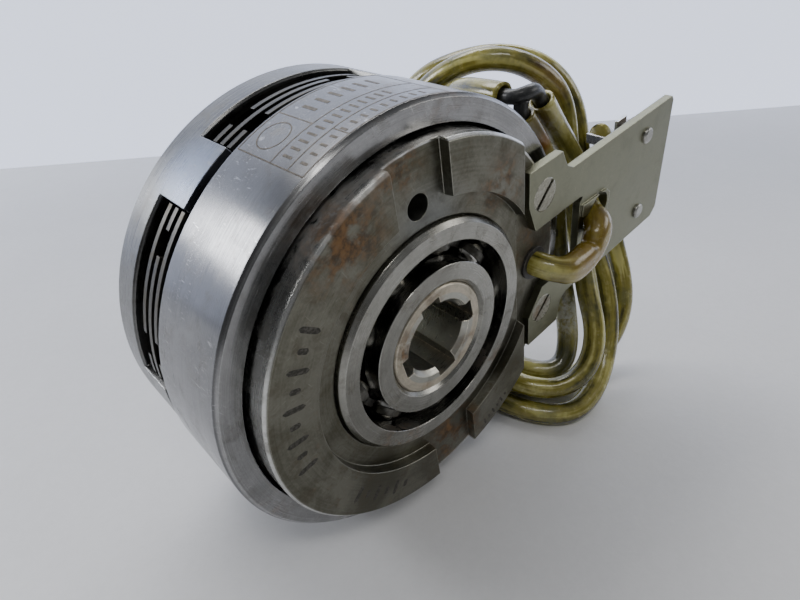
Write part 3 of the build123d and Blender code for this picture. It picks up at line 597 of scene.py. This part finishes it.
MATERIALS["sleeve_plastic"] = sleeve_material(
    "sleeve_plastic",
    tints=(((44.5, -9.0, 3.0), 12.0, 0.95, AMBER), ((54.5, -8.0, 9.0), 9.0, 0.80, AMBER),
           ((51.5, -10.0, 1.0), 5.5, 0.80, ORANGE), ((36.0, -8.0, 1.0), 5.0, 0.8, BROWN),
           ((42.5, 8.5, 31.5), 10.0, 0.85, BROWN), ((43.5, 6.5, 29.0), 4.5, 0.7, ORANGE),
           # The dark olive spot low in the coil is painted shade.
           ((54.5, -5.0, -36.0), 11.0, 0.85, OLIVE_SHADE), ((62.0, 19.0, 38.0), 10.0, 0.30, ORANGE)),
    # The crinkles are creases with a painted silvery glint.
    crinkles=(((60.0, -1.0, -23.5), 9.5, 0.9), ((50.5, 7.0, 33.0), 6.0, 0.45)))
MATERIALS["core_plastic"] = core_material("core_plastic")


def dress_lead(node, route, radius, slot, **shape):
    """The smooth tube that stands for a lead's CAD solid."""
    piece, points = tube(node + "_tube", route, radius, **shape)
    piece.data.materials.append(MATERIALS[slot])
    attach(piece, "stator")
    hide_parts(node)
    return piece, points


core, _ = dress_lead("lead_core", CORE_ROUTE, CORE_R, "core_plastic", sides=20)
field, field_points = dress_lead(
    "field_lead", FIELD_ROUTE, SLEEVE_R, "sleeve_plastic", bore=SLEEVE_BORE, shape=pinched)
supply, supply_points = dress_lead(
    "supply_lead", SUPPLY_ROUTE, SLEEVE_R, "sleeve_plastic", bore=SLEEVE_BORE, shape=uneven, sealed=True)
earth, earth_points = dress_lead(
    "earth_lead", EARTH_ROUTE, SLEEVE_R, "sleeve_plastic", bore=SLEEVE_BORE, shape=uneven)

# The short black piece in the earth lead's top. It has no solid in the CAD.
STUB_ROUTE = ((42.6, 8.3, 31.4), (40.6, 9.0, 34.1), (39.0, 9.4, 36.3), (38.2, 9.2, 38.2), (38.0, 8.8, 39.6))
stub, _ = tube("earth_core", STUB_ROUTE, CORE_R, sides=20)
stub.data.materials.append(MATERIALS["core_plastic"])
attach(stub, "stator")


# ---------------------------------------------------------------- generic marks on the metal

def mark_material(name, colour):
    """Etched or stamped marks, slightly uneven."""
    g = Graph(name)
    place = g.place()
    fine = g.noise(place, 2.0, 4.0, 0.7)
    pale = tuple(channel * 2.2 + 0.03 for channel in colour[:3]) + (1.0,)
    tone = g.blend(g.step(fine, 0.42, 0.66), colour, pale)
    return g.finish(Base_Color=tone, Metallic=0.35, Roughness=0.55, Normal=g.bump(fine, 0.02))


def piece_from_bands(name, bands, material, body):
    """One mesh of flat bands."""
    vertices, faces = [], []
    for band in bands:
        for index, (low, high) in enumerate(band):
            vertices += [low * MM, high * MM]
            if index:
                last = len(vertices)
                faces.append((last - 4, last - 3, last - 1, last - 2))
    mesh = bpy.data.meshes.new(name)
    mesh.from_pydata(vertices, [], faces)
    piece = bpy.data.objects.new(name, mesh)
    bpy.context.scene.collection.objects.link(piece)
    mesh.materials.append(material)
    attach(piece, body)
    return piece


def on_ring(degrees, axial, lift=0.015):
    """A point on the rotor ring's outside; degrees run from +X towards +Z."""
    turn = math.radians(degrees)
    reach = RING_R + lift
    return Vector((reach * math.cos(turn), axial, reach * math.sin(turn)))


def ring_line(start, end, width):
    """A straight etched line on the ring, between two (degrees, axial) places."""
    steps = max(2, int(abs(end[0] - start[0]) / 1.5) + 2)
    run = Vector(((end[0] - start[0]) * math.pi * RING_R / 180, end[1] - start[1])).normalized()
    band = []
    for k in range(steps):
        share = k / (steps - 1)
        degrees = start[0] + (end[0] - start[0]) * share
        axial = start[1] + (end[1] - start[1]) * share
        across_degrees = -run.y * width / 2 * 180 / (math.pi * RING_R)
        across_axial = run.x * width / 2
        band.append((on_ring(degrees - across_degrees, axial - across_axial),
                     on_ring(degrees + across_degrees, axial + across_axial)))
    return band


PANEL_LEFT, PANEL_RIGHT = 123.2, 84.0
PANEL_FRONT, ROW_1, ROW_2, PANEL_REAR = 0.9, 5.0, 9.8, 19.6
DIVIDER, SHORT_DIVIDER = 111.5, 110.9
LINE_WIDTH = 0.28
CIRCLE_STEPS = 24


def etched_panel():
    """A framed panel with a plain circle and rows of plain bars, all in (degrees, axial) places."""
    edges = [((PANEL_LEFT, PANEL_FRONT), (PANEL_LEFT, PANEL_REAR))]
    for axial in (PANEL_FRONT, ROW_1, ROW_2, PANEL_REAR):
        edges.append(((PANEL_LEFT, axial), (PANEL_RIGHT, axial)))
    edges.append(((PANEL_RIGHT, PANEL_FRONT), (PANEL_RIGHT, PANEL_REAR)))
    edges.append(((DIVIDER, ROW_2), (DIVIDER, PANEL_REAR)))
    edges.append(((SHORT_DIVIDER, PANEL_FRONT), (SHORT_DIVIDER, ROW_1)))
    middle = ((PANEL_LEFT + DIVIDER) / 2, (ROW_2 + PANEL_REAR) / 2)
    circle = []
    for k in range(CIRCLE_STEPS + 1):
        turn = 2 * math.pi * k / CIRCLE_STEPS
        circle.append((middle[0] + 3.9 * math.cos(turn), middle[1] + 3.2 * math.sin(turn)))
    edges += zip(circle, circle[1:])
    bands = [ring_line(start, end, LINE_WIDTH) for start, end in edges]
    for low, high, pitch in ((PANEL_FRONT, ROW_1, 2.6), (ROW_1, ROW_2, 2.2)):
        for k in range(13):
            degrees = 120.6 - pitch * k
            bands.append(ring_line((degrees, low + 1.2), (degrees, high - 1.2), 0.55))
    for k in range(6):
        degrees = 107.6 - 3.4 * k
        bands.append(ring_line((degrees, ROW_2 + 3.0), (degrees, PANEL_REAR - 3.0), 0.8))
    return bands


def face_stroke(centre, tilt, length, width):
    """A stamped stroke on the pot's front face, with rounded ends."""
    along = Vector((math.cos(tilt), 0, math.sin(tilt)))
    across = Vector((-math.sin(tilt), 0, math.cos(tilt)))
    band = []
    for k in range(9):
        share = k / 8
        half = width / 2 * math.sqrt(max(0.0, 1 - (2 * share - 1) ** 6)) + 0.02
        place = centre + along * (length * (share - 0.5)) + Vector((0, -0.012, 0))
        band.append((place - across * half, place + across * half))
    return band


STAMPED_ROWS = (              # first and last degree, strokes, radius and height
    (196.5, 150.0, 9, 36.3, 4.6), (229.0, 253.0, 6, 36.4, 4.2), (297.0, 310.0, 6, 38.9, 2.4))


def stamped_marks():
    """Rows of plain radial strokes, long and short in turn, at the left, the bottom and the lower right."""
    bands = []
    for first, last, count, radius, height in STAMPED_ROWS:
        for k in range(count):
            turn = math.radians(first + (last - first) * k / (count - 1))
            out = Vector((math.cos(turn), 0, math.sin(turn)))
            length = height * (0.5 if k % 2 else 1.0)
            bands.append(face_stroke(out * radius + Vector((0, FACE_Y, 0)), turn, length, height * 0.25))
    return bands


piece_from_bands("ring_panel", etched_panel(), mark_material("etched_mark", rgb(0.055, 0.045, 0.032)),
                 "rotor")
piece_from_bands("face_marks", stamped_marks(), mark_material("stamped_mark", rgb(0.030, 0.027, 0.020)),
                 "stator")


# ---------------------------------------------------------------- finishes of the CAD nodes

for row in frame["record"]["subparts"]:
    piece = NODES[row["node"]]
    piece.data.materials.clear()
    piece.data.materials.append(MATERIALS[row["material_slot"]])
    for face in piece.data.polygons:
        face.material_index = 0


# ---------------------------------------------------------------- table, backdrop, light and camera

def stage_material(name, light, dark, grain, depth, roughness, glow=(0.0, 0.0, 0.0, 1.0)):
    """Pale painted board, faintly mottled; glow is the light that comes through a backdrop."""
    g = Graph(name)
    place = g.place()
    tone = g.add(g.times(g.noise(place, 0.012, 4.0, 0.6), 0.6), g.times(g.noise(place, grain, 4.0, 0.7), 0.4))
    colour = g.blend(g.step(tone, 0.35, 0.65), dark, light)
    normal = g.bump(g.noise(place, grain, 3.0, 0.6), depth)
    return g.finish(Base_Color=colour, Roughness=roughness, Normal=normal, Specular_IOR_Level=0.35,
                    Emission_Color=glow, Emission_Strength=1.0)


def sheet(name, corners, material):
    mesh = bpy.data.meshes.new(name)
    mesh.from_pydata([Vector(corner) for corner in corners], [], [(0, 1, 2, 3)])
    mesh.materials.append(material)
    piece = bpy.data.objects.new(name, mesh)
    bpy.context.scene.collection.objects.link(piece)
    return piece


edge_left = Vector((-0.585, 0.640, FLOOR_Z))       # the table's far edge
edge_right = Vector((1.400, -0.418, FLOOR_Z))
near_side = Vector((-1.6, -3.0, 0.0))              # from the far edge to the near one
tall = Vector((0, 0, 0.34))                        # the backdrop's height
sheet("table", (edge_left + near_side, edge_right + near_side, edge_right, edge_left),
      stage_material("table_board", rgb(0.74, 0.74, 0.745), rgb(0.70, 0.70, 0.705), 0.45, 0.05, 0.50))
sheet("backdrop", (edge_left, edge_right, edge_right + tall, edge_left + tall),
      stage_material("backdrop_board", rgb(0.34, 0.36, 0.40), rgb(0.32, 0.34, 0.38), 0.3, 0.02, 0.7,
                     glow=rgb(1.10, 1.20, 1.50)))


def area_light(name, place, target, width, depth, power, colour):
    data = bpy.data.lights.new(name, "AREA")
    data.shape = "RECTANGLE"
    data.size = width
    data.size_y = depth
    data.energy = power
    data.color = colour
    light = bpy.data.objects.new(name, data)
    light.location = place
    light.rotation_euler = (Vector(target) - Vector(place)).to_track_quat("-Z", "Y").to_euler()
    bpy.context.scene.collection.objects.link(light)


CENTRE = (0.01, 0.015, 0.0)
UPPER_LEFT = (-0.02, 0.01, 0.02)
LIGHTS = (                    # name, place, target, width, depth, watts and colour
    ("ceiling", (0.15, 0.60, 0.80), CENTRE, 0.8, 0.3, 5.5, (1.0, 0.99, 0.98)),
    ("left_window", (-0.33, 0.40, 0.20), UPPER_LEFT, 0.20, 0.15, 1.15, (0.97, 0.98, 1.0)),
    ("overhead", (-0.30, -0.30, 0.90), CENTRE, 0.5, 0.10, 1.6, (1.0, 0.99, 0.97)),
    ("right_fill", (0.75, -0.55, 0.50), CENTRE, 0.5, 0.4, 1.8, (1.0, 0.98, 0.95)),
    ("right_top", (0.52, 0.26, 0.50), CENTRE, 0.3, 0.2, 1.2, (1.0, 1.0, 1.0)))
for light_row in LIGHTS:
    area_light(*light_row)

world = bpy.data.worlds.new("studio")
world.use_nodes = True
bpy.context.scene.world = world
world_nodes = world.node_tree.nodes
world_links = world.node_tree.links
background = world_nodes["Background"]
direction = world_nodes.new("ShaderNodeTexCoord")


def world_shade(low_colour, high_colour, towards, low, high):
    """A colour that changes smoothly as a direction turns towards a given one."""
    dot = world_nodes.new("ShaderNodeVectorMath")
    dot.operation = "DOT_PRODUCT"
    dot.inputs[1].default_value = towards
    world_links.new(direction.outputs["Generated"], dot.inputs[0])
    share = world_nodes.new("ShaderNodeMapRange")
    share.interpolation_type = "SMOOTHSTEP"
    share.inputs["From Min"].default_value = low
    share.inputs["From Max"].default_value = high
    world_links.new(dot.outputs["Value"], share.inputs["Value"])
    mix = world_nodes.new("ShaderNodeMix")
    mix.data_type = "RGBA"
    world_links.new(share.outputs[0], mix.inputs[0])
    for socket, colour in ((mix.inputs[6], low_colour), (mix.inputs[7], high_colour)):
        if isinstance(colour, tuple):
            socket.default_value = colour
        else:
            world_links.new(colour, socket)
    return mix.outputs[2]


BEHIND_CAMERA = rgb(0.15, 0.152, 0.158)
BEYOND_CLUTCH = rgb(0.56, 0.59, 0.64)
ABOVE = rgb(0.24, 0.245, 0.255)
AWAY_FROM_CAMERA = (0.684, 0.729, 0.0)
UP = (0.0, 0.0, 1.0)
room = world_shade(BEHIND_CAMERA, BEYOND_CLUTCH, AWAY_FROM_CAMERA, -0.35, 0.85)
room = world_shade(room, ABOVE, UP, 0.25, 0.95)
world_links.new(room, background.inputs["Color"])
background.inputs["Strength"].default_value = 1.0

camera_data = bpy.data.cameras.new("camera")
camera_data.sensor_width = 36.0
camera_data.lens = 25.16      # 559 pixels of the photograph's 800
camera_data.clip_start = 0.005
camera = bpy.data.objects.new("camera", camera_data)
camera.location = (-0.069431, -0.066248, 0.069039)
camera.rotation_euler = (math.radians(57.276), 0.0, math.radians(-43.15))
bpy.context.scene.collection.objects.link(camera)
bpy.context.scene.camera = camera
